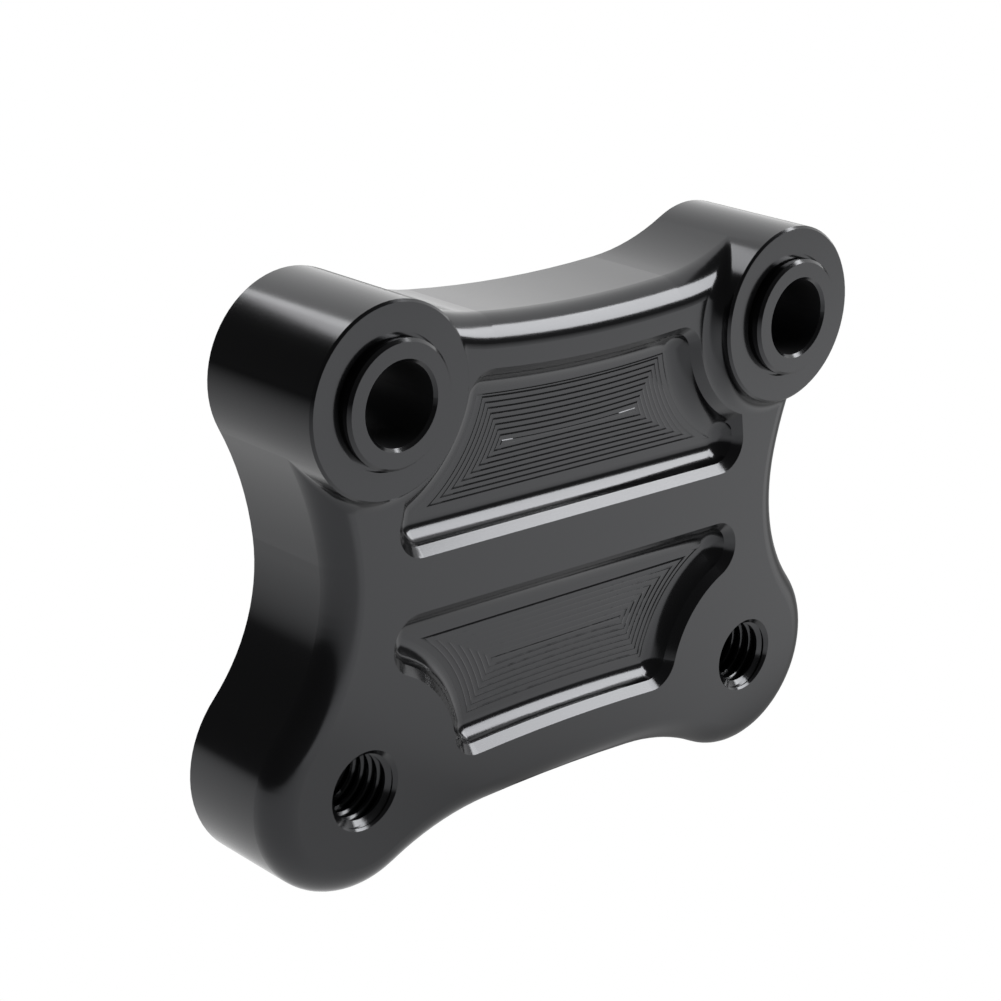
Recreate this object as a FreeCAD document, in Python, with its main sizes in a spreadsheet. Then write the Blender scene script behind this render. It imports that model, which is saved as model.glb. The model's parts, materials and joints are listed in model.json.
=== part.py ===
import FreeCAD, Part
import math
import os
import Sketcher

# Bar riser block, machined from one billet of aluminium, in millimetres.
# X runs across the block, Z up the rise, and the front face looks along -Y.
# The origin is under the middle of the block, on the surface it stands on.

Vec = FreeCAD.Vector

# Driving dimensions, each with what it measures.
driving_sizes = [
    ("hole_spacing", 88.9, "between the two holes of each row"),
    ("rise", 63.5, "from the tapped row up to the bolt row"),
    ("plate_thickness", 21.0, "rear face to front face"),
    ("boss_height", 3.4, "how far a boss stands proud of the front face"),
    ("boss_radius", 15.3, "upper bosses, outside"),
    ("boss_step", 0.02, "boss wall outside the arc of the outline behind it"),
    ("boss_start", 0.8, "rear face to where a boss wall begins"),
    ("boss_chamfer", 0.4, "edge of a boss face"),
    ("spigot_height", 2.0, "how far a spigot stands proud of its boss"),
    ("spigot_radius", 10.0, "locating ring on a boss"),
    ("spigot_chamfer", 0.5, "outer edge of a spigot"),
    ("relief_width", 0.55, "groove round the foot of a spigot"),
    ("relief_depth", 0.5, "the same groove, below the boss face"),
    ("bore_radius", 6.5, "clearance bore through a boss"),
    ("bore_chamfer", 0.5, "mouth of a bore"),
    ("tap_drill_radius", 5.36, "wall of a tapped hole before its thread"),
    ("tap_mouth_radius", 6.7, "countersink of a tapped hole"),
    ("lobe_radius", 18.1, "lower lobes, outside"),
    ("neck_half_width", 50.5, "middle of the block to its waist"),
    ("neck_height", 32.18, "tapped row up to the waist"),
    ("neck_turn", 9.13, "turn of the side from the waist to where its upper hollow starts, in degrees"),
    ("top_web", 7.47, "top edge above the bolt row, at the middle"),
    ("top_radius", 237.6, "hollow of the top edge, middle"),
    ("top_blend_radius", 41.2, "hollow of the top edge beside a boss"),
    ("bottom_web", 10.8, "bottom edge below the tapped row, at the middle"),
    ("bottom_radius", 374.7, "hollow of the bottom edge, middle"),
    ("bottom_blend_radius", 48.5, "hollow of the bottom edge beside a lobe"),
    ("edge_round", 4.76, "round-over of the front edge"),
    ("rear_chamfer", 0.3, "edge of the rear face"),
    ("pocket_depth", 3.75, "both pockets, below the front face"),
    ("pocket_floor_round", 3.7, "ball-nosed foot of the pocket walls"),
    ("pocket_corner", 5.15, "corners of the pocket rims"),
    ("rim_bevel", 1.15, "bevel round the pocket rims"),
    ("rim_bevel_reach", 2.8, "depth of the bevel cutter"),
    ("boss_land", 3.1, "face left between a boss and the pocket rim"),
    ("lobe_land", 0.9, "pocket rim radius beyond the lobe radius"),
    ("top_rail", 7.87, "top edge down to the upper rim"),
    ("bottom_rail", 10.75, "bottom edge up to the lower rim"),
    ("bar_width", 9.1, "cross bar between the two pockets"),
    ("bar_drop", 0.1, "middle of the cross bar below the middle of the rise"),
    ("pocket_half_width", 39.2, "middle of the block to the upper rim's side"),
    ("side_lean", 11.0, "lean of the upper rim's sides, in degrees"),
]

# Sizes that follow from them.
derived_sizes = [
    ("half_spacing", "hole_spacing / 2"),
    ("shoulder_radius", "boss_radius - boss_step"),
    ("relief_radius", "spigot_radius + relief_width"),
    ("neck_offset", "neck_half_width - half_spacing"),
    ("neck_lower_radius", "(neck_offset ^ 2 + neck_height ^ 2 - lobe_radius ^ 2)"
     " / (2 * (lobe_radius - neck_offset))"),
    ("join_offset", "neck_offset + neck_lower_radius * (1 - cos(neck_turn * 1 deg))"),
    ("join_drop", "rise - neck_height - neck_lower_radius * sin(neck_turn * 1 deg)"),
    ("join_reach", "join_offset * cos(neck_turn * 1 deg) + join_drop * sin(neck_turn * 1 deg)"),
    ("neck_upper_radius", "(join_offset ^ 2 + join_drop ^ 2 - shoulder_radius ^ 2)"
     " / (2 * (shoulder_radius - join_reach))"),
    ("tapped_z", "lobe_radius"),
    ("bolt_z", "tapped_z + rise"),
    ("total_depth", "plate_thickness + boss_height + spigot_height"),
    ("rear_y", "total_depth / 2"),
    ("front_y", "rear_y - plate_thickness"),
    ("top_centre_z", "bolt_z + top_web + top_radius"),
    ("bottom_centre_depth", "bottom_web + bottom_radius - tapped_z"),
    ("bar_low_z", "tapped_z + rise / 2 - bar_drop - bar_width / 2"),
    ("bar_top_z", "bar_low_z + bar_width"),
    ("boss_land_radius", "boss_radius + boss_land"),
    ("lobe_land_radius", "lobe_radius + lobe_land"),
    ("upper_rim_radius", "top_radius + top_rail"),
    ("lower_rim_radius", "bottom_radius + bottom_rail"),
    ("tap_chamfer", "tap_mouth_radius - tap_drill_radius"),
]

doc = FreeCAD.newDocument("bar_riser")
sheet = doc.addObject("Spreadsheet::Sheet", "Sizes")
rows = [(alias, str(value), meaning) for alias, value, meaning in driving_sizes]
rows += [(alias, "=" + formula, "") for alias, formula in derived_sizes]
for number, (alias, content, meaning) in enumerate(rows, 1):
    sheet.set("A%d" % number, alias)
    sheet.set("B%d" % number, content)
    sheet.set("C%d" % number, meaning)
    sheet.setAlias("B%d" % number, alias)
doc.recompute()


def size(alias):
    return float(sheet.get(alias))


# Plane geometry, used to draw each outline close to where its constraints hold it.


def circle_crossing(centre_a, radius_a, centre_b, radius_b, score):
    # the crossing of two circles that has the higher score
    line = centre_b - centre_a
    gap = line.Length
    along = (radius_a ** 2 - radius_b ** 2 + gap ** 2) / (2 * gap)
    across = math.sqrt(max(radius_a ** 2 - along ** 2, 0.0))
    line.normalize()
    normal = Vec(-line.y, line.x, 0)
    crossings = [centre_a + line * along + normal * side for side in (across, -across)]
    return max(crossings, key=score)


def line_crossing(start, direction, centre, radius):
    # the first crossing of a circle by a line that starts outside it
    offset = start - centre
    along = offset.dot(direction)
    reach = -along - math.sqrt(along ** 2 - offset.Length ** 2 + radius ** 2)
    return start + direction * reach


def point_towards(centre, target, distance):
    line = target - centre
    line.normalize()
    return centre + line * distance


def mirrored(point):
    return Vec(-point.x, point.y, 0)


def outermost(point):
    return point.x


def innermost(point):
    return -point.x


class Profile:
    # A closed outline, drawn segment by segment, anticlockwise.
    # Every segment keeps which of its ends it is entered and left by.
    # Points of a segment are counted start, end, centre; -1 and -2 are the sketch's own axes.
    start, end, centre = range(1, 4)
    origin = (-1, 1)

    def __init__(self, body, name, depth_formula):
        self.sketch = body.newObject("Sketcher::SketchObject", name)
        plane = [f for f in body.Origin.OriginFeatures if f.Role == "XZ_Plane"][0]
        self.sketch.AttachmentSupport = (plane, [""])
        self.sketch.MapMode = "FlatFace"
        self.sketch.setExpression("AttachmentOffset.Base.z", depth_formula)
        self.segments = []

    def line(self, a, b):
        geometry = self.sketch.addGeometry(Part.LineSegment(a, b), False)
        self.segments.append((geometry, self.start, self.end))
        return geometry

    def arc(self, centre, a, b, hollow=False):
        # a hollow arc is run through clockwise, so its ends change places
        first, last = (b, a) if hollow else (a, b)
        angles = [math.atan2(p.y - centre.y, p.x - centre.x) for p in (first, last)]
        circle = Part.Circle(centre, Vec(0, 0, 1), (a - centre).Length)
        geometry = self.sketch.addGeometry(Part.ArcOfCircle(circle, angles[0], angles[1]), False)
        ends = (self.end, self.start) if hollow else (self.start, self.end)
        self.segments.append((geometry,) + ends)
        return geometry

    def circle(self, centre, radius_formula, radius):
        geometry = self.sketch.addGeometry(Part.Circle(centre, Vec(0, 0, 1), radius), False)
        self.dimension("Radius", (geometry,), radius, radius_formula)
        return geometry

    def close(self, sharp_after=()):
        # tangent joints, apart from the corners after the segments named
        for index, (geometry, _, leave) in enumerate(self.segments):
            following, enter, _ = self.segments[(index + 1) % len(self.segments)]
            kind = "Coincident" if geometry in sharp_after else "Tangent"
            self.sketch.addConstraint(Sketcher.Constraint(kind, geometry, leave, following, enter))

    def dimension(self, kind, where, value, formula):
        index = self.sketch.addConstraint(Sketcher.Constraint(kind, *where, value))
        self.sketch.setExpression("Constraints[%d]" % index, formula)

    def radius(self, geometry, value, formula):
        self.dimension("Radius", (geometry,), value, formula)

    def equal(self, first, *others):
        for other in others:
            self.sketch.addConstraint(Sketcher.Constraint("Equal", first, other))

    def horizontal(self, geometry):
        self.sketch.addConstraint(Sketcher.Constraint("Horizontal", geometry))

    def centre_at(self, geometry, point, x_formula, z_formula):
        place = (geometry, self.centre)
        self.dimension("DistanceX", self.origin + place, point.x, x_formula)
        self.dimension("DistanceY", self.origin + place, point.y, z_formula)

    def centre_on_axis(self, geometry):
        self.sketch.addConstraint(Sketcher.Constraint("PointOnObject", geometry, self.centre, -2))

    def mirror_point(self, left, left_end, right, right_end):
        self.sketch.addConstraint(
            Sketcher.Constraint("Symmetric", left, left_end, right, right_end, -2))

    def mirror_centre(self, left, right):
        self.mirror_point(left, self.centre, right, self.centre)


half_spacing = size("half_spacing")
tapped_centre = Vec(half_spacing, size("tapped_z"), 0)
bolt_centre = Vec(half_spacing, size("bolt_z"), 0)
top_centre = Vec(0, size("top_centre_z"), 0)
bottom_centre = Vec(0, -size("bottom_centre_depth"), 0)


def draw_block_outline(profile):
    lobe, boss = size("lobe_radius"), size("shoulder_radius")
    lower, upper = size("neck_lower_radius"), size("neck_upper_radius")
    top, top_blend = size("top_radius"), size("top_blend_radius")
    bottom, bottom_blend = size("bottom_radius"), size("bottom_blend_radius")

    # centres of the hollows on the right-hand side
    lower_x = size("neck_half_width") + lower
    lower_reach = lobe + lower
    lower_z = tapped_centre.y + math.sqrt(lower_reach ** 2 - (lower_x - tapped_centre.x) ** 2)
    lower_centre = Vec(lower_x, lower_z, 0)
    upper_centre = circle_crossing(lower_centre, upper - lower, bolt_centre, boss + upper, outermost)
    top_blend_centre = circle_crossing(top_centre, top - top_blend, bolt_centre, boss + top_blend, innermost)
    bottom_blend_centre = circle_crossing(
        bottom_centre, bottom - bottom_blend, tapped_centre, lobe + bottom_blend, innermost)

    # points where the arcs touch
    bottom_join = point_towards(bottom_centre, bottom_blend_centre, bottom)
    lobe_low = point_towards(tapped_centre, bottom_blend_centre, lobe)
    lobe_high = point_towards(tapped_centre, lower_centre, lobe)
    neck_join = point_towards(upper_centre, lower_centre, upper)
    boss_low = point_towards(bolt_centre, upper_centre, boss)
    boss_high = point_towards(bolt_centre, top_blend_centre, boss)
    top_join = point_towards(top_centre, top_blend_centre, top)

    bottom_arc = profile.arc(bottom_centre, mirrored(bottom_join), bottom_join, hollow=True)
    bottom_blend_right = profile.arc(bottom_blend_centre, bottom_join, lobe_low, hollow=True)
    lobe_right = profile.arc(tapped_centre, lobe_low, lobe_high)
    lower_right = profile.arc(lower_centre, lobe_high, neck_join, hollow=True)
    upper_right = profile.arc(upper_centre, neck_join, boss_low, hollow=True)
    boss_right = profile.arc(bolt_centre, boss_low, boss_high)
    top_blend_right = profile.arc(top_blend_centre, boss_high, top_join, hollow=True)
    top_arc = profile.arc(top_centre, top_join, mirrored(top_join), hollow=True)
    top_blend_left = profile.arc(
        mirrored(top_blend_centre), mirrored(top_join), mirrored(boss_high), hollow=True)
    boss_left = profile.arc(mirrored(bolt_centre), mirrored(boss_high), mirrored(boss_low))
    upper_left = profile.arc(mirrored(upper_centre), mirrored(boss_low), mirrored(neck_join), hollow=True)
    lower_left = profile.arc(mirrored(lower_centre), mirrored(neck_join), mirrored(lobe_high), hollow=True)
    lobe_left = profile.arc(mirrored(tapped_centre), mirrored(lobe_high), mirrored(lobe_low))
    bottom_blend_left = profile.arc(
        mirrored(bottom_blend_centre), mirrored(lobe_low), mirrored(bottom_join), hollow=True)
    profile.close()

    profile.radius(bottom_arc, bottom, "Sizes.bottom_radius")
    profile.radius(bottom_blend_right, bottom_blend, "Sizes.bottom_blend_radius")
    profile.radius(lobe_right, lobe, "Sizes.lobe_radius")
    profile.radius(lower_right, lower, "Sizes.neck_lower_radius")
    profile.radius(upper_right, upper, "Sizes.neck_upper_radius")
    profile.radius(boss_right, boss, "Sizes.shoulder_radius")
    profile.radius(top_blend_right, top_blend, "Sizes.top_blend_radius")
    profile.radius(top_arc, top, "Sizes.top_radius")
    profile.equal(bottom_blend_right, bottom_blend_left)
    profile.equal(lobe_right, lobe_left)
    profile.equal(lower_right, lower_left)
    profile.equal(upper_right, upper_left)
    profile.equal(boss_right, boss_left)
    profile.equal(top_blend_right, top_blend_left)

    profile.centre_at(lobe_right, tapped_centre, "Sizes.half_spacing", "Sizes.tapped_z")
    profile.centre_at(boss_right, bolt_centre, "Sizes.half_spacing", "Sizes.bolt_z")
    profile.mirror_centre(lobe_left, lobe_right)
    profile.mirror_centre(boss_left, boss_right)
    profile.centre_on_axis(top_arc)
    profile.centre_on_axis(bottom_arc)
    origin, centre = profile.origin, profile.centre
    profile.dimension("DistanceY", origin + (top_arc, centre), top_centre.y, "Sizes.top_centre_z")
    profile.dimension("DistanceY", (bottom_arc, centre) + origin, -bottom_centre.y,
                      "Sizes.bottom_centre_depth")
    waist = "Sizes.neck_half_width + Sizes.neck_lower_radius"
    profile.dimension("DistanceX", origin + (lower_right, centre), lower_x, waist)
    profile.dimension("DistanceX", (lower_left, centre) + origin, lower_x, waist)


def draw_upper_pocket(profile, inset_alias):
    # inset_alias names how far this outline lies inside the rim, or is empty
    inset = size(inset_alias) if inset_alias else 0.0
    less = " - Sizes." + inset_alias if inset_alias else ""
    more = " + Sizes." + inset_alias if inset_alias else ""
    corner = size("pocket_corner") - inset
    land = size("boss_land_radius") + inset
    top = size("upper_rim_radius") + inset
    floor_z = size("bar_top_z") + inset
    corner_x = size("pocket_half_width") - size("pocket_corner")
    lean = math.radians(size("side_lean"))
    # the cutter leaves its own radius in the walls, the bevel keeps its corner
    milled = inset_alias == "rim_bevel"

    low_centre = Vec(corner_x, floor_z + corner, 0)
    low_start = Vec(corner_x, floor_z, 0)
    outwards = Vec(math.cos(lean), math.sin(lean), 0)
    low_end = low_centre + outwards * corner
    # the side leans inwards until it meets the land round the boss
    side = Vec(-outwards.y, outwards.x, 0)
    if milled:
        joint_centre = line_crossing(low_centre, side, bolt_centre, land + corner)
        side_end = joint_centre + outwards * corner
        land_start = point_towards(bolt_centre, joint_centre, land)
    else:
        side_end = line_crossing(low_end, side, bolt_centre, land)
        land_start = side_end
    high_centre = circle_crossing(top_centre, top + corner, bolt_centre, land + corner, innermost)
    land_end = point_towards(bolt_centre, high_centre, land)
    top_start = point_towards(top_centre, high_centre, top)

    floor_line = profile.line(mirrored(low_start), low_start)
    low_right = profile.arc(low_centre, low_start, low_end)
    side_right = profile.line(low_end, side_end)
    joint_arcs = []
    if milled:
        joint_arcs.append(profile.arc(joint_centre, side_end, land_start))
    land_right = profile.arc(bolt_centre, land_start, land_end, hollow=True)
    high_right = profile.arc(high_centre, land_end, top_start)
    top_arc = profile.arc(top_centre, top_start, mirrored(top_start), hollow=True)
    high_left = profile.arc(mirrored(high_centre), mirrored(top_start), mirrored(land_end))
    land_left = profile.arc(
        mirrored(bolt_centre), mirrored(land_end), mirrored(land_start), hollow=True)
    if milled:
        joint_arcs.append(
            profile.arc(mirrored(joint_centre), mirrored(land_start), mirrored(side_end)))
    side_left = profile.line(mirrored(side_end), mirrored(low_end))
    low_left = profile.arc(mirrored(low_centre), mirrored(low_end), mirrored(low_start))
    profile.close(sharp_after=() if milled else (side_right, land_left))

    profile.horizontal(floor_line)
    profile.radius(low_right, corner, "Sizes.pocket_corner" + less)
    profile.equal(low_right, low_left, high_right, high_left, *joint_arcs)
    profile.radius(land_right, land, "Sizes.boss_land_radius" + more)
    profile.equal(land_right, land_left)
    profile.radius(top_arc, top, "Sizes.upper_rim_radius" + more)
    profile.centre_at(land_right, bolt_centre, "Sizes.half_spacing", "Sizes.bolt_z")
    profile.mirror_centre(land_left, land_right)
    profile.centre_on_axis(top_arc)
    origin, centre = profile.origin, profile.centre
    profile.dimension("DistanceY", origin + (top_arc, centre), top_centre.y, "Sizes.top_centre_z")
    profile.centre_at(low_right, low_centre, "Sizes.pocket_half_width - Sizes.pocket_corner",
                      "Sizes.bar_top_z + Sizes.pocket_corner")
    profile.dimension("Angle", (side_right,), math.pi / 2 + lean, "90 deg + Sizes.side_lean * 1 deg")
    profile.mirror_point(side_left, profile.end, side_right, profile.start)


def draw_lower_pocket(profile, inset_alias):
    inset = size(inset_alias) if inset_alias else 0.0
    less = " - Sizes." + inset_alias if inset_alias else ""
    more = " + Sizes." + inset_alias if inset_alias else ""
    corner = size("pocket_corner") - inset
    land = size("lobe_land_radius") + inset
    bottom = size("lower_rim_radius") + inset
    roof_z = size("bar_low_z") - inset

    high_z = roof_z - corner
    high_reach = land + corner
    high_x = tapped_centre.x - math.sqrt(high_reach ** 2 - (high_z - tapped_centre.y) ** 2)
    high_centre = Vec(high_x, high_z, 0)
    high_start = point_towards(tapped_centre, high_centre, land)
    high_end = Vec(high_x, roof_z, 0)
    low_centre = circle_crossing(bottom_centre, bottom + corner, tapped_centre, land + corner, innermost)
    low_start = point_towards(bottom_centre, low_centre, bottom)
    low_end = point_towards(tapped_centre, low_centre, land)

    bottom_arc = profile.arc(bottom_centre, mirrored(low_start), low_start, hollow=True)
    low_right = profile.arc(low_centre, low_start, low_end)
    land_right = profile.arc(tapped_centre, low_end, high_start, hollow=True)
    high_right = profile.arc(high_centre, high_start, high_end)
    roof_line = profile.line(high_end, mirrored(high_end))
    high_left = profile.arc(mirrored(high_centre), mirrored(high_end), mirrored(high_start))
    land_left = profile.arc(mirrored(tapped_centre), mirrored(high_start), mirrored(low_end), hollow=True)
    low_left = profile.arc(mirrored(low_centre), mirrored(low_end), mirrored(low_start))
    profile.close()

    profile.horizontal(roof_line)
    profile.radius(low_right, corner, "Sizes.pocket_corner" + less)
    profile.equal(low_right, low_left, high_right, high_left)
    profile.radius(land_right, land, "Sizes.lobe_land_radius" + more)
    profile.equal(land_right, land_left)
    profile.radius(bottom_arc, bottom, "Sizes.lower_rim_radius" + more)
    profile.centre_at(land_right, tapped_centre, "Sizes.half_spacing", "Sizes.tapped_z")
    profile.mirror_centre(land_left, land_right)
    profile.centre_on_axis(bottom_arc)
    origin, centre = profile.origin, profile.centre
    profile.dimension("DistanceY", (bottom_arc, centre) + origin, -bottom_centre.y,
                      "Sizes.bottom_centre_depth")
    profile.dimension("DistanceY", origin + (high_right, centre), high_z,
                      "Sizes.bar_low_z - Sizes.pocket_corner")


def draw_circle_pair(profile, centre, z_alias, radius_alias):
    right = profile.circle(centre, "Sizes." + radius_alias, size(radius_alias))
    left = profile.sketch.addGeometry(
        Part.Circle(mirrored(centre), Vec(0, 0, 1), size(radius_alias)), False)
    profile.equal(right, left)
    profile.centre_at(right, centre, "Sizes.half_spacing", "Sizes." + z_alias)
    profile.mirror_centre(left, right)


# Features of the block. Sketches lie in XZ planes, whose own depth runs towards -Y.

rear_plane = "-Sizes.rear_y"
front_plane = "-Sizes.front_y"
touching = 0.02  # how near two measures count as the same place

body = doc.addObject("PartDesign::Body", "riser_block")
body.Label = "riser_block"


def pad(name, profile, length_formula):
    feature = body.newObject("PartDesign::Pad", name)
    feature.Profile = profile.sketch
    feature.setExpression("Length", length_formula)
    doc.recompute()
    return feature


def pocket(name, profile, depth_formula):
    before = body.Shape.Volume
    feature = body.newObject("PartDesign::Pocket", name)
    feature.Profile = profile.sketch
    feature.setExpression("Length", depth_formula)
    doc.recompute()
    if body.Shape.Volume > before - touching:
        raise RuntimeError(name + " cuts nothing")
    return feature


def dress(kind, name, base, chosen, size_property, size_formula):
    # a fillet or chamfer on the edges of the base feature that chosen accepts
    names = ["Edge%d" % (i + 1) for i, edge in enumerate(base.Shape.Edges) if chosen(edge)]
    if not names:
        raise RuntimeError(name + " found no edges")
    feature = body.newObject("PartDesign::" + kind, name)
    feature.Base = (base, names)
    feature.setExpression(size_property, size_formula)
    doc.recompute()
    return feature


def lies_in(edge, y):
    box = edge.BoundBox
    return abs(box.YMin - y) < touching and abs(box.YMax - y) < touching


def ring_in(y, radius, z):
    # picks the full circles of one radius that lie at one depth and one height
    def chosen(edge):
        if not isinstance(edge.Curve, Part.Circle) or not lies_in(edge, y):
            return False
        centre = edge.Curve.Center
        return abs(edge.Curve.Radius - radius) < touching and abs(centre.z - z) < touching
    return chosen


rear_y, front_y = size("rear_y"), size("front_y")
tapped_z, bolt_z = size("tapped_z"), size("bolt_z")
boss_face_y = front_y - size("boss_height")
spigot_face_y = boss_face_y - size("spigot_height")

outline = Profile(body, "OutlineSketch", rear_plane)
draw_block_outline(outline)
block = pad("Block", outline, "Sizes.plate_thickness")
edge_round = dress("Fillet", "EdgeRound", block, lambda edge: lies_in(edge, front_y),
                   "Radius", "Sizes.edge_round")

rear_edge = dress("Chamfer", "RearEdge", edge_round, lambda edge: lies_in(edge, rear_y),
                  "Size", "Sizes.rear_chamfer")

# bosses start just inside the rear edge, so the round-over dies into them
bosses = Profile(body, "BossSketch", rear_plane + " + Sizes.boss_start")
draw_circle_pair(bosses, bolt_centre, "bolt_z", "boss_radius")
boss_pad = pad("Bosses", bosses, "Sizes.plate_thickness + Sizes.boss_height - Sizes.boss_start")

spigots = Profile(body, "SpigotSketch", front_plane)
draw_circle_pair(spigots, bolt_centre, "bolt_z", "spigot_radius")
spigot_pad = pad("Spigots", spigots, "Sizes.boss_height + Sizes.spigot_height")

# a narrow groove round the foot of each spigot lets the clamp seat flat on the boss face
reliefs = Profile(body, "ReliefSketch", front_plane + " + Sizes.boss_height")
draw_circle_pair(reliefs, bolt_centre, "bolt_z", "relief_radius")
draw_circle_pair(reliefs, bolt_centre, "bolt_z", "spigot_radius")
relief_cut = pocket("Reliefs", reliefs, "Sizes.relief_depth")

boss_edge = dress("Chamfer", "BossEdge", relief_cut,
                  ring_in(boss_face_y, size("boss_radius"), bolt_z),
                  "Size", "Sizes.boss_chamfer")
spigot_edge = dress("Chamfer", "SpigotEdge", boss_edge,
                    ring_in(spigot_face_y, size("spigot_radius"), bolt_z),
                    "Size", "Sizes.spigot_chamfer")

# holes, cut from the front plane of what carries them
bores = Profile(body, "BoreSketch", "-Sizes.rear_y + Sizes.total_depth")
draw_circle_pair(bores, bolt_centre, "bolt_z", "bore_radius")
bore_cut = pocket("Bores", bores, "Sizes.total_depth")
taps = Profile(body, "TapSketch", front_plane)
draw_circle_pair(taps, tapped_centre, "tapped_z", "tap_drill_radius")
tap_cut = pocket("TapDrills", taps, "Sizes.plate_thickness")


def bore_mouths(edge):
    rings = [ring_in(y, size("bore_radius"), bolt_z) for y in (spigot_face_y, rear_y)]
    return any(ring(edge) for ring in rings)


def tap_mouths(edge):
    rings = [ring_in(y, size("tap_drill_radius"), tapped_z) for y in (front_y, rear_y)]
    return any(ring(edge) for ring in rings)


bore_edge = dress("Chamfer", "BoreMouths", tap_cut, bore_mouths, "Size", "Sizes.bore_chamfer")
tap_edge = dress("Chamfer", "TapMouths", bore_edge, tap_mouths, "Size", "Sizes.tap_chamfer")


# pockets: straight walls first, then their ball-nosed foot, then the bevelled rim

def cut_pocket(name, draw):
    wall = Profile(body, name + "WallSketch", front_plane)
    draw(wall, "rim_bevel")
    cut = pocket(name + "Pocket", wall, "Sizes.pocket_depth")
    floor_y = front_y + size("pocket_depth")
    foot = dress("Fillet", name + "Foot", cut, lambda edge: lies_in(edge, floor_y),
                 "Radius", "Sizes.pocket_floor_round")
    rim = Profile(body, name + "RimSketch", front_plane)
    draw(rim, "")
    inner = Profile(body, name + "BevelSketch", front_plane + " - Sizes.rim_bevel_reach")
    draw(inner, "rim_bevel_reach")
    bevel = body.newObject("PartDesign::SubtractiveLoft", name + "Bevel")
    bevel.Profile = rim.sketch
    bevel.Sections = [inner.sketch]
    bevel.Ruled = True
    doc.recompute()
    if bevel.Shape.Volume > foot.Shape.Volume - touching:
        raise RuntimeError(name + " bevel cuts nothing")
    return bevel


upper_bevel = cut_pocket("Upper", draw_upper_pocket)
lower_bevel = cut_pocket("Lower", draw_lower_pocket)

doc.recompute()

# Every object has to be sound before anything is written.
for item in doc.Objects:
    if any(word in item.State for word in ("Invalid", "Error")):
        raise RuntimeError("%s is %s" % (item.Name, item.State))
shape = body.Shape
if shape.isNull() or not shape.isValid() or len(shape.Solids) != 1:
    raise RuntimeError("riser_block is not one sound solid")

box = shape.BoundBox
print("riser_block", round(shape.Volume, 1), "mm3,", len(shape.Faces), "faces, box",
      round(box.XLength, 2), round(box.YLength, 2), round(box.ZLength, 2))

os.makedirs("parts", exist_ok=True)
shape.exportStep("parts/riser_block.step")
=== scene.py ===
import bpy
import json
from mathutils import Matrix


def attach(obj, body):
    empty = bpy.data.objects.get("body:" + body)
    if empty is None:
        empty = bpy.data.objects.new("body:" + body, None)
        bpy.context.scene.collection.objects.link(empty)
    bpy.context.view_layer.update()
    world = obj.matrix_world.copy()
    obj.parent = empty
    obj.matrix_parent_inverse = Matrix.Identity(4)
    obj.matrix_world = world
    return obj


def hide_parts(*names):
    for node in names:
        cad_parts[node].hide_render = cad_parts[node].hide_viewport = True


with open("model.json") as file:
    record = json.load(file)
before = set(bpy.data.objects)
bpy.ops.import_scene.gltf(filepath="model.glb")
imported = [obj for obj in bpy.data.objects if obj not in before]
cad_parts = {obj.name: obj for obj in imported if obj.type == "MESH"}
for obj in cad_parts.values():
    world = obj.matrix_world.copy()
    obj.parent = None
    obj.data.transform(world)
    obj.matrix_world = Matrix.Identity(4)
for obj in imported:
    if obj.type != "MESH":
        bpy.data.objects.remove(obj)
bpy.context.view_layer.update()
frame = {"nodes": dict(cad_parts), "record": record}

import json
import math

import bpy
from mathutils import Matrix, Vector, noise

# Black anodised bar riser block, seen from its front left, on a white sweep.
scene = bpy.context.scene
mm = 0.001


def rad(degrees):
    return math.radians(degrees)


def deselectAll():
    if bpy.context.object and bpy.context.object.mode != "OBJECT":
        bpy.ops.object.mode_set(mode="OBJECT")
    bpy.ops.object.select_all(action="DESELECT")


def activate(obj):
    deselectAll()
    obj.select_set(True)
    bpy.context.view_layer.objects.active = obj


def applyModifier(obj, kind, **settings):
    activate(obj)
    modifier = obj.modifiers.new(kind.lower(), kind)
    for name, value in settings.items():
        setattr(modifier, name, value)
    bpy.ops.object.modifier_apply(modifier=modifier.name)


def combine(target, tool, operation):
    # unites the target with a closed tool, or cuts the tool from it
    applyModifier(target, "BOOLEAN", object=tool, operation=operation, solver="EXACT")
    bpy.data.objects.remove(tool)


def newPiece(name, points, faces):
    mesh = bpy.data.meshes.new(name)
    mesh.from_pydata(points, (), faces)
    mesh.update()
    piece = bpy.data.objects.new(name, mesh)
    scene.collection.objects.link(piece)
    return piece


def faceOutwards(piece):
    activate(piece)
    bpy.ops.object.mode_set(mode="EDIT")
    bpy.ops.mesh.select_all(action="SELECT")
    bpy.ops.mesh.normals_make_consistent(inside=False)
    bpy.ops.object.mode_set(mode="OBJECT")


# normals that a surface keeps through every later cut, stored on its face corners

keptNormal = "keptNormal"


def keepNormals(mesh, normalOf=None):
    # normalOf gives the exact normal at a vertex, and without it the mesh's own are kept
    layer = mesh.attributes.new(keptNormal, "FLOAT_VECTOR", "CORNER")
    for index, loop in enumerate(mesh.loops):
        normal = normalOf(loop.vertex_index) if normalOf else mesh.corner_normals[index].vector
        layer.data[index].vector = normal


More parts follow.
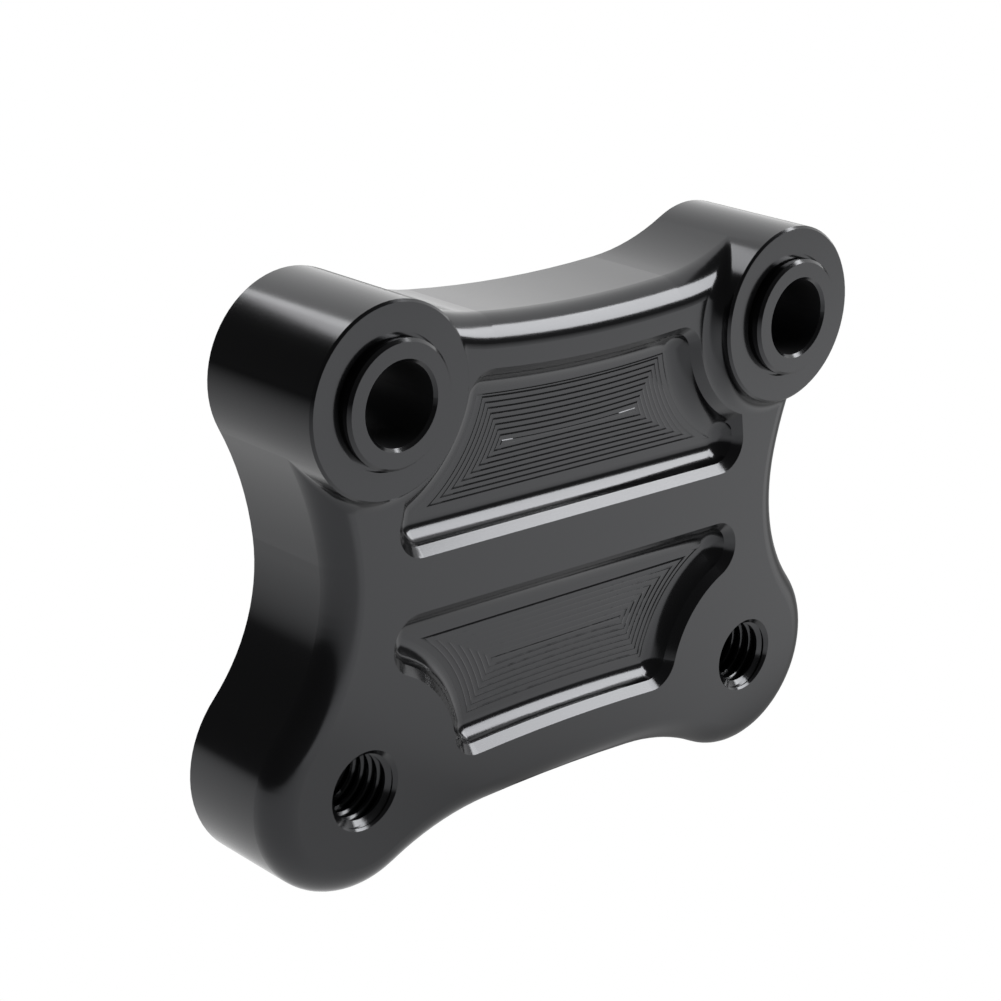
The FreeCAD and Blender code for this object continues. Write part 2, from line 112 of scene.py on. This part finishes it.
def mendNormals(mesh):
    # the round at the foot of the lower pocket's bottom wall is a torus: its normals are worked out
    centre = Vector((0, tappedCentre.y - block["bottomWeb"] - block["bottomRadius"]))
    radius = block["floorRound"]
    ring = block["bottomRadius"] + block["bottomRail"] + block["rimBevel"] + radius
    tubeY = block["plateFront"] + block["pocketDepth"] - radius
    layer = mesh.attributes[keptNormal]

    def around(index):
        # away from the torus's middle, how far inside the tube's centre line, and how far behind it
        place = mesh.vertices[index].co / mm
        plan = place.xz - centre
        return plan.normalized(), ring - plan.length, place.y - tubeY

    for face in mesh.polygons:
        spots = [around(index) for index in face.vertices]
        if all(min(inside, behind) > -block["roundEnd"]
               and abs(math.hypot(inside, behind) - radius) < block["onRound"]
               for away, inside, behind in spots):
            for corner, (away, inside, behind) in zip(face.loop_indices, spots):
                exact = Vector((away.x * inside, -behind, away.y * inside))
                layer.data[corner].vector = exact.normalized()


def restoreNormals(piece):
    # corners that a cut made have no kept normal and take the mesh's own
    mesh = piece.data
    layer = mesh.attributes[keptNormal]
    normals = []
    for index in range(len(mesh.loops)):
        kept = Vector(layer.data[index].vector)
        own = mesh.corner_normals[index].vector
        normals.append(kept.normalized() if kept.length > 0.5 else own)
    mesh.normals_split_custom_set(normals)
    mesh.attributes.remove(mesh.attributes[keptNormal])


# driving sizes of the block, in millimetres and degrees; its holes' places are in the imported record

block = {
    "node": "riser_block",
    "mergeDistance": 0.002,
    "smoothAngle": 8.0,       # between facets of a cut that shade as one surface
    "onRound": 0.02,          # distance from a round at which a vertex counts as lying on it
    "roundEnd": 0.01,         # how far past the round's end it may be
    "plateFront": -7.8,       # Y of the flat front face
    "bossFace": -11.2,
    "boreRadius": 6.5,
    "onBore": 0.1,            # distance from a bore's wall at which a face belongs to it
    "upright": 0.01,          # part of its normal that may point along the bore
    "bossRadius": 15.3,
    "bossChamfer": 0.4,
    "shoulderRadius": 15.28,  # outline behind a boss wall
    "lobeRadius": 18.1,
    "edgeRound": 4.76,
    "topWeb": 7.47,
    "topRadius": 237.6,
    "topBlendRadius": 41.2,
    "neckHalfWidth": 50.5,
    "neckHeight": 32.18,
    "neckTurn": 9.13,
    "rise": 63.5,
    "pocketDepth": 3.75,
    "rimBevel": 1.15,
    "floorRound": 3.7,
    "bossLand": 3.1,
    "lobeLand": 0.9,
    "topRail": 7.87,
    "bottomRail": 10.75,
    "bottomWeb": 10.8,
    "bottomRadius": 374.7,
    "barWidth": 9.1,
    "barDrop": 0.1,
}
mounts = {mount["name"]: mount for mount in frame["record"]["mounts"]}


def mountPlace(name):
    return Vector(mounts[name]["pos_m"]) / mm


boltCentre = mountPlace("bolt_bore_right").xz
tappedCentre = mountPlace("tapped_hole_right").xz


def crossingNear(first, second, middle):
    # where two circles cross, the crossing nearer to the middle
    centreA, radiusA = first
    centreB, radiusB = second
    line = centreB - centreA
    gap = line.length
    along = (radiusA ** 2 - radiusB ** 2 + gap ** 2) / (2 * gap)
    across = math.sqrt(radiusA ** 2 - along ** 2)
    line.normalize()
    normal = Vector((-line.y, line.x))
    points = [centreA + line * along + normal * side for side in (across, -across)]
    return min(points, key=lambda point: (point - middle).length)


def hollowsBesideBoss():
    # centre and radius of the two hollows of the outline that meet the right-hand boss
    shoulder = block["shoulderRadius"]
    topCentre = Vector((0, boltCentre.y + block["topWeb"] + block["topRadius"]))
    blend = block["topBlendRadius"]
    topPath, bossPath = (topCentre, block["topRadius"] - blend), (boltCentre, shoulder + blend)
    blendCentre = crossingNear(topPath, bossPath, Vector((0, boltCentre.y)))
    offset = block["neckHalfWidth"] - boltCentre.x
    height, lobe, turn = block["neckHeight"], block["lobeRadius"], rad(block["neckTurn"])
    lower = (offset ** 2 + height ** 2 - lobe ** 2) / (2 * (lobe - offset))
    joinX = offset + lower * (1 - math.cos(turn))
    drop = block["rise"] - height - lower * math.sin(turn)
    reach = joinX * math.cos(turn) + drop * math.sin(turn)
    upper = (joinX ** 2 + drop ** 2 - shoulder ** 2) / (2 * (shoulder - reach))
    join = boltCentre + Vector((joinX, -drop))
    neckCentre = join + Vector((math.cos(turn), -math.sin(turn))) * upper
    return [(blendCentre, blend), (neckCentre, upper)]


# cove between a boss wall and the plate, as a ball-nosed cutter leaves it

bossRoot = {
    "radius": 2.9,
    "rings": 180,
    "arcSteps": 12,
    "sunk": 0.6,        # how far its hidden sides reach into the metal
    "lap": 0.7,         # how far it laps over the round-over beyond its contact
    "lapDrop": 0.1,
    "bite": 0.003,      # set into the plate and out of the wall by this much, so no faces coincide
    "endGap": 0.02,     # how near to vanishing it stops
    "endTurn": 0.001,   # and how far inside the last angle, in degrees
    "searchSteps": 3000,
}


def ballAt(angle, hollows):
    # where the cutter's ball runs at one angle round the right-hand boss, and the way to the plate
    radius, rounding = bossRoot["radius"], block["edgeRound"]
    spot = boltCentre + Vector((math.cos(angle), math.sin(angle))) * (block["bossRadius"] + radius)
    excess, arcCentre = max(
        ((arc + rounding - (spot - centre).length, centre) for centre, arc in hollows),
        key=lambda item: item[0])
    coreY = block["plateFront"] + rounding
    if excess <= 0:
        return Vector((spot.x, block["plateFront"] - radius, spot.y)), Vector((0, 1, 0)), excess
    if excess >= rounding + radius - bossRoot["endGap"]:
        return None
    outwards = (arcCentre - spot).normalized()
    core = spot - outwards * excess
    ballY = coreY - math.sqrt((rounding + radius) ** 2 - excess ** 2)
    ball = Vector((spot.x, ballY, spot.y))
    return ball, (Vector((core.x, coreY, core.y)) - ball).normalized(), excess


def rootEnds(hollows):
    # the angles round the boss between which the cove exists, from the top hollow to the neck
    ways = [centre - boltCentre for centre, arc in hollows]
    top, neck = [math.atan2(way.y, way.x) for way in ways]
    steps = bossRoot["searchSteps"]
    angles = [top + (neck + 2 * math.pi - top) * i / steps for i in range(steps + 1)]
    there = [angle for angle in angles if ballAt(angle, hollows)]
    return there[0], there[-1] - rad(bossRoot["endTurn"])


def buildBossRoot(side):
    hollows = hollowsBesideBoss()
    first, last = rootEnds(hollows)
    rings, steps = bossRoot["rings"], bossRoot["arcSteps"]
    topY = block["bossFace"] + block["bossChamfer"]
    bite, sunk = bossRoot["bite"], bossRoot["sunk"]
    wall = block["bossRadius"] + bite
    points, normals = [], []
    for ring in range(rings + 1):
        share = 0.5 - 0.5 * math.cos(math.pi * ring / rings)
        angle = first + (last - first) * share
        ball, toPlate, excess = ballAt(angle, hollows)
        radial = Vector((math.cos(angle), 0, math.sin(angle)))
        axis = Vector((boltCentre.x, 0, boltCentre.y))
        section = [(axis + radial * wall + Vector((0, topY, 0)), radial)]
        turn = (-radial).angle(toPlate)
        ball = ball + toPlate * bite
        for step in range(steps + 1):
            part = step / steps
            way = toPlate * math.sin(part * turn) - radial * math.sin((1 - part) * turn)
            way /= math.sin(turn)
            section.append((ball + way * bossRoot["radius"], -way))
        contact = section[-1][0]
        away = (toPlate * math.cos(turn) + radial).normalized()
        lapped = min(max(excess, 0.0), 1.0)     # none on the flat, all of it on the round-over
        edge = contact + (away * bossRoot["lap"] + toPlate * bossRoot["lapDrop"]) * lapped
        section.append((edge, -toPlate))
        low = edge + toPlate * sunk
        section.append((low, Vector()))
        section.append((axis + radial * (wall - sunk) + Vector((0, low.y + sunk, 0)), Vector()))
        section.append((axis + radial * (wall - sunk) + Vector((0, topY, 0)), Vector()))
        for point, normal in section:
            points.append(Vector((point.x * side, point.y, point.z)) * mm)
            normals.append(Vector((normal.x * side, normal.y, normal.z)))
    count = len(points) // (rings + 1)
    faces = []
    for ring in range(rings):
        for i in range(count):
            a, b = ring * count + i, ring * count + (i + 1) % count
            faces.append((a, b, b + count, a + count))
    faces.append(tuple(range(count)))
    faces.append(tuple(range(rings * count, (rings + 1) * count))[::-1])
    if side < 0:
        faces = [face[::-1] for face in faces]
    piece = newPiece("bossRoot", points, faces)
    faceOutwards(piece)
    keepNormals(piece.data, lambda index: normals[index])
    return piece


# 1/2-13 threads

thread = {
    "pitch": 25.4 / 13,
    "majorRadius": 6.35,
    "innerRadius": 5.2,      # of the cutting form, clear of the hole's wall
    "rootFlat": 25.4 / 13 / 8,
    "flankAngle": 30.0,
    "turns": 14,
    "steps": 72,
    "startAngle": 1.7,
    "apex": 4.0,             # cones that close the form, beyond its ends
    "lead": 1.2,             # turns by which it starts beyond the rear face
}


def buildThreadForm(centreX):
    # a right-handed helix of one profile, closed by a cone beyond each face of the block
    pitch, major, inner = thread["pitch"], thread["majorRadius"], thread["innerRadius"]
    flank = (major - inner) * math.tan(rad(thread["flankAngle"]))
    half = thread["rootFlat"] / 2
    profile = [(inner, 0.0), (inner, pitch / 2 - half - flank), (major, pitch / 2 - half),
               (major, pitch / 2 + half), (inner, pitch / 2 + half + flank)]
    steps, width = thread["steps"], len(profile)
    last = thread["turns"] * steps
    start = mountPlace("rear_face").y + (thread["lead"] - thread["turns"]) * pitch
    centre = Vector((centreX, start, tappedCentre.y))
    points = []
    for step in range(last + steps + 1):
        angle = rad(thread["startAngle"]) + 2 * math.pi * step / steps
        for radius, height in profile:
            along = height + pitch * step / steps
            around = Vector((radius * math.cos(angle), along, radius * math.sin(angle)))
            points.append(centre + around)
    faces = []
    for step in range(last):
        for i in range(width):
            nextUp = i + 1 if i + 1 < width else steps * width
            a, b = step * width, (step + 1) * width
            faces.append((a + i, b + i, b + nextUp, a + nextUp))
    front = [step * width for step in range(steps + 1)] + list(range(width - 1, 0, -1))
    rear = [(last + step) * width for step in range(steps + 1)]
    rear += list(range(last * width + width - 1, last * width, -1))
    frontTip, rearTip = -thread["apex"], (thread["turns"] + 1) * pitch + thread["apex"]
    for loop, height in ((front, frontTip), (rear, rearTip)):
        points.append(centre + Vector((0, height, 0)))
        for i in range(len(loop)):
            faces.append((loop[i], loop[(i + 1) % len(loop)], len(points) - 1))
    used = sorted({index for face in faces for index in face})
    place = {index: i for i, index in enumerate(used)}
    form = newPiece("threadForm", [points[index] * mm for index in used],
                    [tuple(place[index] for index in face) for face in faces])
    faceOutwards(form)
    return form


# floors of the pockets, milled in nested loops that leave a ridge between passes

toolMarks = {
    "sunk": 0.5,            # the milled slab's depth into the metal
    "proud": 0.003,         # its lowest lines above the floor
    "ballRadius": 4.0,
    "straight": 40000.0,    # radius that stands for a straight side
    "margin": 0.1,          # flat border outside the outermost ridge, in passes
    "rimFlanks": (0.2, 0.08),    # widths outside and inside that ridge, in passes too
    "valleyStep": 0.3,      # where a valley is followed, on either side of a ridge
    "valleyMiddle": 0.5,
    "centreFoot": 0.2,      # the last line's foot and half its width
    "centreHalf": 0.05,
    "cornerBlend": 0.05,    # share of a side in which one ridge changes into the next side's
    "noise": 0.15,          # share by which a crest's height wanders
    "noiseLength": 0.8,
    "noiseStep": 3.7,       # from one crest to the next, so that they wander apart
    "upper": {
        "passes": 8,
        # sides in the order top, right, bottom, left
        "first": (5.7, 6.8, 6.42, 6.8),     # first ridge inside the rim
        "pitch": (0.94, 0.875, 0.907, 0.875),
        "segments": (90, 40, 110, 40),
        "outerFlank": (0.25, 0.25, 0.08, 0.1),   # widths of a ridge's two flanks
        "innerFlank": (0.08, 0.12, 0.25, 0.12),
        "burr": (0.038, 0.026, 0.031, 0.032),    # sharp crest above what the ball leaves
        "firstBurr": (0.04, 0.026, 0.031, 0.032),
        "centreBurr": 0.045,
        "centreLow": (-12.5, 11.3, 0.6),         # X range where the last line is lower, and how low
        "rimPlace": (-0.5, -1.4, -1.0, -1.4),    # where the walls' finishing cut ends, in passes
        "rimBurr": (0.04, 0.03, 0.0, 0.004),
    },
    "lower": {
        "passes": 7,
        "first": (6.54, 6.1, 5.85, 6.1),
        "pitch": (1.03, 1.05, 1.09, 1.05),
        "segments": (110, 40, 80, 40),
        "outerFlank": (0.25, 0.25, 0.1, 0.2),
        "innerFlank": (0.12, 0.08, 0.25, 0.1),
        "burr": (0.024, 0.028, 0.034, 0.022),
        "firstBurr": (0.055, 0.03, 0.04, 0.022),
        "centreBurr": 0.02,
        "centreLow": (-15.0, 15.0, 1.0),
        "rimPlace": (-1.0, -0.85, -0.6, -0.85),
        "rimBurr": (0.0, 0.035, 0.004, 0.0),
    },
}


def pocketSides(name):
    # circles whose radii grow inwards, each with its radius at the rim
    straight = toolMarks["straight"]
    if name == "upper":
        land = block["bossRadius"] + block["bossLand"]
        low = boltCentre.y - block["rise"] / 2 - block["barDrop"] + block["barWidth"] / 2
        top = boltCentre.y + block["topWeb"] + block["topRadius"]
        return [(Vector((0, top)), block["topRadius"] + block["topRail"]),
                (boltCentre.copy(), land), (Vector((0, low - straight)), straight),
                (Vector((-boltCentre.x, boltCentre.y)), land)]
    land = block["lobeRadius"] + block["lobeLand"]
    high = tappedCentre.y + block["rise"] / 2 - block["barDrop"] - block["barWidth"] / 2
    bottom = tappedCentre.y - block["bottomWeb"] - block["bottomRadius"]
    return [(Vector((0, high + straight)), straight), (tappedCentre.copy(), land),
            (Vector((0, bottom)), block["bottomRadius"] + block["bottomRail"]),
            (Vector((-tappedCentre.x, tappedCentre.y)), land)]


def markRing(sides, offsets, marks, middle):
    # points of one loop, side after side, with the side and the share along it
    circles = [(centre, radius + offset) for (centre, radius), offset in zip(sides, offsets)]
    corners = [crossingNear(circles[i - 1], circles[i], middle) for i in range(4)]
    ring = []
    for i, (centre, radius) in enumerate(circles):
        start, end = corners[i], corners[(i + 1) % 4]
        chord = end - start
        half = chord.length / 2
        # rise of the arc over its chord, towards the inside of the loop
        sideways = ((start + end) / 2 - centre).normalized()
        reach = math.sqrt(radius ** 2 - half ** 2)
        count = marks["segments"][i]
        turn = math.asin(half / radius)
        along = chord.normalized()
        for step in range(count):
            angle = -turn + 2 * turn * step / count
            lift = radius * math.cos(angle) - reach
            point = (start + end) / 2 + along * radius * math.sin(angle) + sideways * lift
            ring.append((point, i, step / count))
    return ring


def markHeight(marks, heights, place, share):
    # heights of the four sides, blended where two sides meet
    blend = toolMarks["cornerBlend"]
    height = heights[place]
    if share < blend:
        other = heights[place - 1]
        height = other + (height - other) * (0.5 + 0.5 * share / blend)
    elif share > 1 - blend:
        other = heights[(place + 1) % 4]
        height = other + (height - other) * (0.5 + 0.5 * (1 - share) / blend)
    return height


def buildMilledFloor(name):
    marks = toolMarks[name]
    sides = pocketSides(name)
    passes, first, pitch = marks["passes"], marks["first"], marks["pitch"]
    (topCentre, topRadius), (bottomCentre, bottomRadius) = sides[0], sides[2]
    middle = Vector((0, (topCentre.y - topRadius + bottomCentre.y + bottomRadius) / 2))
    ball, valley = toolMarks["ballRadius"], toolMarks["valleyStep"]

    def scallops(shares):
        # what the ball leaves on the four sides, each at its share of a pass from a ridge
        return [((0.5 - share) * step) ** 2 / (2 * ball) for share, step in zip(shares, pitch)]

    def crests(burrs):
        return [height + burr for height, burr in zip(scallops([0.0] * 4), burrs)]

    rings = []      # places in passes and heights, one a side, and whether the noise acts on them
    flat = [0.0] * 4
    outerRim, innerRim = toolMarks["rimFlanks"]
    rim = marks["rimPlace"]
    rings.append(([place - outerRim - toolMarks["margin"] for place in rim], flat, False))
    rings.append(([place - outerRim for place in rim], flat, False))
    rings.append((rim, marks["rimBurr"], True))
    rings.append(([place + innerRim for place in rim], flat, False))
    rings.append(([place / 2 for place in rim], flat, False))
    outer, inner = marks["outerFlank"], marks["innerFlank"]
    for index in range(passes):
        burr = marks["burr"] if index else marks["firstBurr"]
        if index:
            rings.append(([index - valley] * 4, scallops([valley] * 4), False))
        rings.append(([index - flank for flank in outer], scallops(outer), False))
        rings.append(([index] * 4, crests(burr), True))
        rings.append(([index + flank for flank in inner], scallops(inner), False))
        rings.append(([index + valley] * 4, scallops([valley] * 4), False))
        rings.append(([index + toolMarks["valleyMiddle"]] * 4, flat, False))
    foot = toolMarks["centreFoot"]
    rings.append(([passes - foot] * 4, scallops([foot] * 4), False))
    rings.append(([passes - toolMarks["centreHalf"]] * 4, crests([marks["centreBurr"]] * 4), True))
    lowStart, lowEnd, lowShare = marks["centreLow"]
    floorY = block["plateFront"] + block["pocketDepth"]
    points, faces = [], []
    for number, (places, heights, rough) in enumerate(rings):
        offsets = [first[i] + places[i] * pitch[i] for i in range(4)]
        for spot, place, share in markRing(sides, offsets, marks, middle):
            height = markHeight(marks, heights, place, share)
            if number == len(rings) - 1 and lowStart < spot.x < lowEnd:
                height *= lowShare
            if rough:
                at = Vector((spot.x, number * toolMarks["noiseStep"], spot.y))
                height *= 1 + toolMarks["noise"] * noise.noise(at / toolMarks["noiseLength"])
            points.append(Vector((spot.x, floorY - toolMarks["proud"] - height, spot.y)) * mm)
    count = sum(marks["segments"])
    for ring in range(len(rings) - 1):
        for i in range(count):
            a, b = ring * count + i, ring * count + (i + 1) % count
            faces.append((a, b, b + count, a + count))
    last = (len(rings) - 1) * count
    faces.append(tuple(range(last, last + count)))
    under = len(points)
    for point in points[:count]:
        points.append(point + Vector((0, toolMarks["sunk"], 0)) * mm)
    for i in range(count):
        faces.append((i, under + i, under + (i + 1) % count, (i + 1) % count))
    faces.append(tuple(range(under, under + count))[::-1])
    slab = newPiece("milledFloor", points, faces)
    faceOutwards(slab)
    return slab


def buildBlock():
    source = frame["nodes"][block["node"]]
    piece = bpy.data.objects.new("riserBlock", source.data.copy())
    scene.collection.objects.link(piece)
    keepNormals(piece.data)
    activate(piece)
    bpy.ops.mesh.customdata_custom_splitnormals_clear()
    bpy.ops.object.mode_set(mode="EDIT")
    bpy.ops.mesh.select_all(action="SELECT")
    bpy.ops.mesh.remove_doubles(threshold=block["mergeDistance"] * mm)
    bpy.ops.mesh.normals_make_consistent(inside=False)
    bpy.ops.object.mode_set(mode="OBJECT")
    mendNormals(piece.data)
    print("boss roots")
    for side in (1, -1):
        combine(piece, buildBossRoot(side), "UNION")
    print("threads")
    for side in (1, -1):
        combine(piece, buildThreadForm(side * tappedCentre.x), "DIFFERENCE")
    print("pocket floors")
    for name in ("upper", "lower"):
        combine(piece, buildMilledFloor(name), "UNION")
    activate(piece)
    bpy.ops.object.shade_smooth_by_angle(angle=rad(block["smoothAngle"]))
    restoreNormals(piece)
    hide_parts(block["node"])
    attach(piece, "root")
    return piece


print("block")
riserBlock = buildBlock()


# anodised finish

finish = {
    "colour": (0.0036, 0.0036, 0.0039, 1.0),
    "tint": (0.94, 0.955, 1.0, 1.0),
    "roughness": 0.15,
    "boreRoughness": 0.5,
    "roughnessSpread": 0.05,
    "patchSize": 0.009,       # metres across a patch of even sheen
    "patchDetail": 3,
    "grainSize": 0.00028,
    "grainDetail": 2,
    "grainHeight": 0.0000009,
    "index": 1.5,
}


def buildSheenGroup():
    # roughness and grain height of an anodised surface, from where a point lies in the block
    group = bpy.data.node_groups.new("anodisedSheen", "ShaderNodeTree")
    for name, kind, inOut, value in (
            ("Position", "NodeSocketVector", "INPUT", None),
            ("Roughness Mean", "NodeSocketFloat", "INPUT", finish["roughness"]),
            ("Roughness Spread", "NodeSocketFloat", "INPUT", finish["roughnessSpread"]),
            ("Roughness", "NodeSocketFloat", "OUTPUT", None),
            ("Height", "NodeSocketFloat", "OUTPUT", None)):
        socket = group.interface.new_socket(name, in_out=inOut, socket_type=kind)
        if value is not None:
            socket.default_value = value
    nodes, links = group.nodes, group.links
    entry, leave = nodes.new("NodeGroupInput"), nodes.new("NodeGroupOutput")
    patches, grain = nodes.new("ShaderNodeTexNoise"), nodes.new("ShaderNodeTexNoise")
    patches.inputs["Scale"].default_value = 1 / finish["patchSize"]
    patches.inputs["Detail"].default_value = finish["patchDetail"]
    grain.inputs["Scale"].default_value = 1 / finish["grainSize"]
    grain.inputs["Detail"].default_value = finish["grainDetail"]
    for texture in (patches, grain):
        links.new(entry.outputs["Position"], texture.inputs["Vector"])
    centred, spread, total = [nodes.new("ShaderNodeMath") for step in range(3)]
    centred.operation, centred.inputs[1].default_value = "SUBTRACT", 0.5
    spread.operation, total.operation = "MULTIPLY", "ADD"
    links.new(patches.outputs["Fac"], centred.inputs[0])
    links.new(centred.outputs[0], spread.inputs[0])
    links.new(entry.outputs["Roughness Spread"], spread.inputs[1])
    links.new(spread.outputs[0], total.inputs[0])
    links.new(entry.outputs["Roughness Mean"], total.inputs[1])
    links.new(total.outputs[0], leave.inputs["Roughness"])
    links.new(grain.outputs["Fac"], leave.inputs["Height"])
    return group


def buildFinish(name, roughness):
    mat = bpy.data.materials.new(name)
    mat.use_nodes = True
    nodes, links = mat.node_tree.nodes, mat.node_tree.links
    shader = nodes["Principled BSDF"]
    shader.inputs["Base Color"].default_value = finish["colour"]
    shader.inputs["IOR"].default_value = finish["index"]
    shader.inputs["Specular Tint"].default_value = finish["tint"]
    place = nodes.new("ShaderNodeTexCoord")
    sheen = nodes.new("ShaderNodeGroup")
    sheen.node_tree = bpy.data.node_groups.get("anodisedSheen") or buildSheenGroup()
    sheen.inputs["Roughness Mean"].default_value = roughness
    sheen.inputs["Roughness Spread"].default_value = finish["roughnessSpread"]
    bump = nodes.new("ShaderNodeBump")
    bump.inputs["Distance"].default_value = finish["grainHeight"]
    links.new(place.outputs["Object"], sheen.inputs["Position"])
    links.new(sheen.outputs["Roughness"], shader.inputs["Roughness"])
    links.new(sheen.outputs["Height"], bump.inputs["Height"])
    links.new(bump.outputs["Normal"], shader.inputs["Normal"])
    return mat


print("finish")
riserBlock.data.materials.clear()
riserBlock.data.materials.append(buildFinish("blackAnodised", finish["roughness"]))
riserBlock.data.materials.append(buildFinish("drilledBore", finish["boreRoughness"]))
for face in riserBlock.data.polygons:
    fromBore = min((face.center.xz / mm - Vector((x, boltCentre.y))).length
                   for x in (boltCentre.x, -boltCentre.x))
    if fromBore < block["boreRadius"] + block["onBore"] and abs(face.normal.y) < block["upright"]:
        face.material_index = 1


# floor, lights and camera

studio = {
    "floorSize": 12.0,
    "darkWorld": 0.07,
    "target": Vector((0.0, 0.0, 0.05)),
    # painted glow that stands in for the light the sweep throws back: strength, distance at which
    # half is left, fall-off
    "floorFront": (1.45, 0.28, 1.5),
    "floorRight": (1.64, 0.8, 3.0),
    "floorBehind": (0.4, 3.0, 2.0),
    # painted shadow of the block, darkening the floor's glow close to it
    "floorPaintedShadow": 0.022,    # distance at which the block's own shade takes half of it
    # azimuth of the middle of a zone, and the cosines from it at which the zone starts and is full
    "rightZone": (45.0, 0.45, 0.8),
    "behindZone": (140.0, 0.3, 0.6),
    # name: azimuth from the front towards the right, elevation, distance, width, height, radiance
    "keyLight": (51.0, 31.0, 1.2, 0.66, 0.66, 10.7),
    "backLight": (-161.5, 48.0, 1.3, 0.64, 0.32, 5.0),
    "backdrop": (125.0, 31.0, 1.8, 3.6, 2.6, 1.2),
}


def buildFloor():
    # the camera sees plain white, and the block sees painted light: the sweep's glow, fading with
    # distance
    deselectAll()
    bpy.ops.mesh.primitive_plane_add(size=studio["floorSize"], location=(0, 0, 0))
    floor = bpy.context.object
    floor.name = "floor"
    mat = bpy.data.materials.new("whiteSweep")
    mat.use_nodes = True
    nodes, links = mat.node_tree.nodes, mat.node_tree.links
    nodes.clear()
    place = nodes.new("ShaderNodeTexCoord")
    reach = nodes.new("ShaderNodeVectorMath")
    reach.operation = "LENGTH"
    way = nodes.new("ShaderNodeVectorMath")
    way.operation = "NORMALIZE"
    links.new(place.outputs["Object"], reach.inputs[0])
    links.new(place.outputs["Object"], way.inputs[0])

    def calculate(operation, first, second):
        node = nodes.new("ShaderNodeMath")
        node.operation = operation
        for socket, value in zip(node.inputs, (first, second)):
            if isinstance(value, float):
                socket.default_value = value
            else:
                links.new(value, socket)
        return node.outputs[0]

    def fading(strength, half, fall):
        ratio = calculate("POWER", calculate("DIVIDE", reach.outputs["Value"], half), fall)
        return calculate("DIVIDE", strength, calculate("ADD", 1.0, ratio))

    def zoneShare(azimuth, start, full):
        facing = nodes.new("ShaderNodeVectorMath")
        facing.operation = "DOT_PRODUCT"
        facing.inputs[1].default_value = (math.sin(rad(azimuth)), -math.cos(rad(azimuth)), 0)
        links.new(way.outputs[0], facing.inputs[0])
        ramp = nodes.new("ShaderNodeMapRange")
        ramp.interpolation_type = "SMOOTHSTEP"
        ramp.inputs["From Min"].default_value = start
        ramp.inputs["From Max"].default_value = full
        links.new(facing.outputs["Value"], ramp.inputs["Value"])
        return ramp.outputs["Result"]

    def blend(share, first, second):
        mix = nodes.new("ShaderNodeMix")
        links.new(share, mix.inputs["Factor"])
        links.new(first, mix.inputs["A"])
        links.new(second, mix.inputs["B"])
        return mix.outputs["Result"]

    parts = ("floorFront", "floorRight", "floorBehind")
    front, right, behind = [fading(*studio[name]) for name in parts]
    light = blend(zoneShare(*studio["rightZone"]), front, right)
    light = blend(zoneShare(*studio["behindZone"]), light, behind)
    distance = reach.outputs["Value"]
    # painted shadow: the glow darkens close to the block
    shade = calculate("DIVIDE", distance, calculate("ADD", distance, studio["floorPaintedShadow"]))
    light = calculate("MULTIPLY", light, shade)
    dim, white = nodes.new("ShaderNodeEmission"), nodes.new("ShaderNodeEmission")
    links.new(light, dim.inputs["Strength"])
    ray = nodes.new("ShaderNodeLightPath")
    mix = nodes.new("ShaderNodeMixShader")
    out = nodes.new("ShaderNodeOutputMaterial")
    links.new(ray.outputs["Is Camera Ray"], mix.inputs[0])
    links.new(dim.outputs[0], mix.inputs[1])
    links.new(white.outputs[0], mix.inputs[2])
    links.new(mix.outputs[0], out.inputs[0])
    floor.data.materials.append(mat)


def buildWorld():
    world = bpy.data.worlds.new("studioWorld")
    scene.world = world
    world.use_nodes = True
    nodes, links = world.node_tree.nodes, world.node_tree.links
    nodes.clear()
    dark = nodes.new("ShaderNodeBackground")
    dark.inputs["Color"].default_value = (1, 1, 1, 1)
    dark.inputs["Strength"].default_value = studio["darkWorld"]
    white = nodes.new("ShaderNodeBackground")
    white.inputs["Color"].default_value = (1, 1, 1, 1)
    white.inputs["Strength"].default_value = 1.0
    ray = nodes.new("ShaderNodeLightPath")
    mix = nodes.new("ShaderNodeMixShader")
    out = nodes.new("ShaderNodeOutputWorld")
    links.new(ray.outputs["Is Camera Ray"], mix.inputs[0])
    links.new(dark.outputs[0], mix.inputs[1])
    links.new(white.outputs[0], mix.inputs[2])
    links.new(mix.outputs[0], out.inputs[0])


def addPanel(name):
    azimuth, elevation, distance, width, height, radiance = studio[name]
    direction = Vector((
        math.sin(rad(azimuth)) * math.cos(rad(elevation)),
        -math.cos(rad(azimuth)) * math.cos(rad(elevation)),
        math.sin(rad(elevation)),
    ))
    light = bpy.data.lights.new(name, "AREA")
    light.shape = "RECTANGLE"
    light.size = width
    light.size_y = height
    light.energy = radiance * math.pi * width * height
    panel = bpy.data.objects.new(name, light)
    panel.location = studio["target"] + direction * distance
    panel.rotation_euler = direction.to_track_quat("Z", "Y").to_euler()
    panel.visible_camera = False
    scene.collection.objects.link(panel)
    return panel


print("studio")
buildFloor()
buildWorld()
for panelName in ("keyLight", "backLight", "backdrop"):
    addPanel(panelName)

view = {
    "place": (-0.26183, -0.25619, 0.18107),
    "azimuth": -44.433,
    "elevation": 19.163,
    "roll": 2.844,
    "lens": 85.01,
    "sensor": 36.0,
    "shift": (-0.0005, 0.0005),
}


def buildCamera():
    data = bpy.data.cameras.new("camera")
    data.lens = view["lens"]
    data.sensor_width = view["sensor"]
    data.shift_x, data.shift_y = view["shift"]
    data.clip_start = 0.01
    data.clip_end = 100.0
    camera = bpy.data.objects.new("camera", data)
    turn = Matrix.Rotation(rad(view["azimuth"]), 4, "Z")
    tilt = Matrix.Rotation(rad(90.0 - view["elevation"]), 4, "X")
    roll = Matrix.Rotation(rad(view["roll"]), 4, "Z")
    camera.matrix_world = Matrix.Translation(view["place"]) @ turn @ tilt @ roll
    scene.collection.objects.link(camera)
    scene.camera = camera


buildCamera()
scene.view_settings.view_transform = "Standard"
scene.view_settings.look = "None"
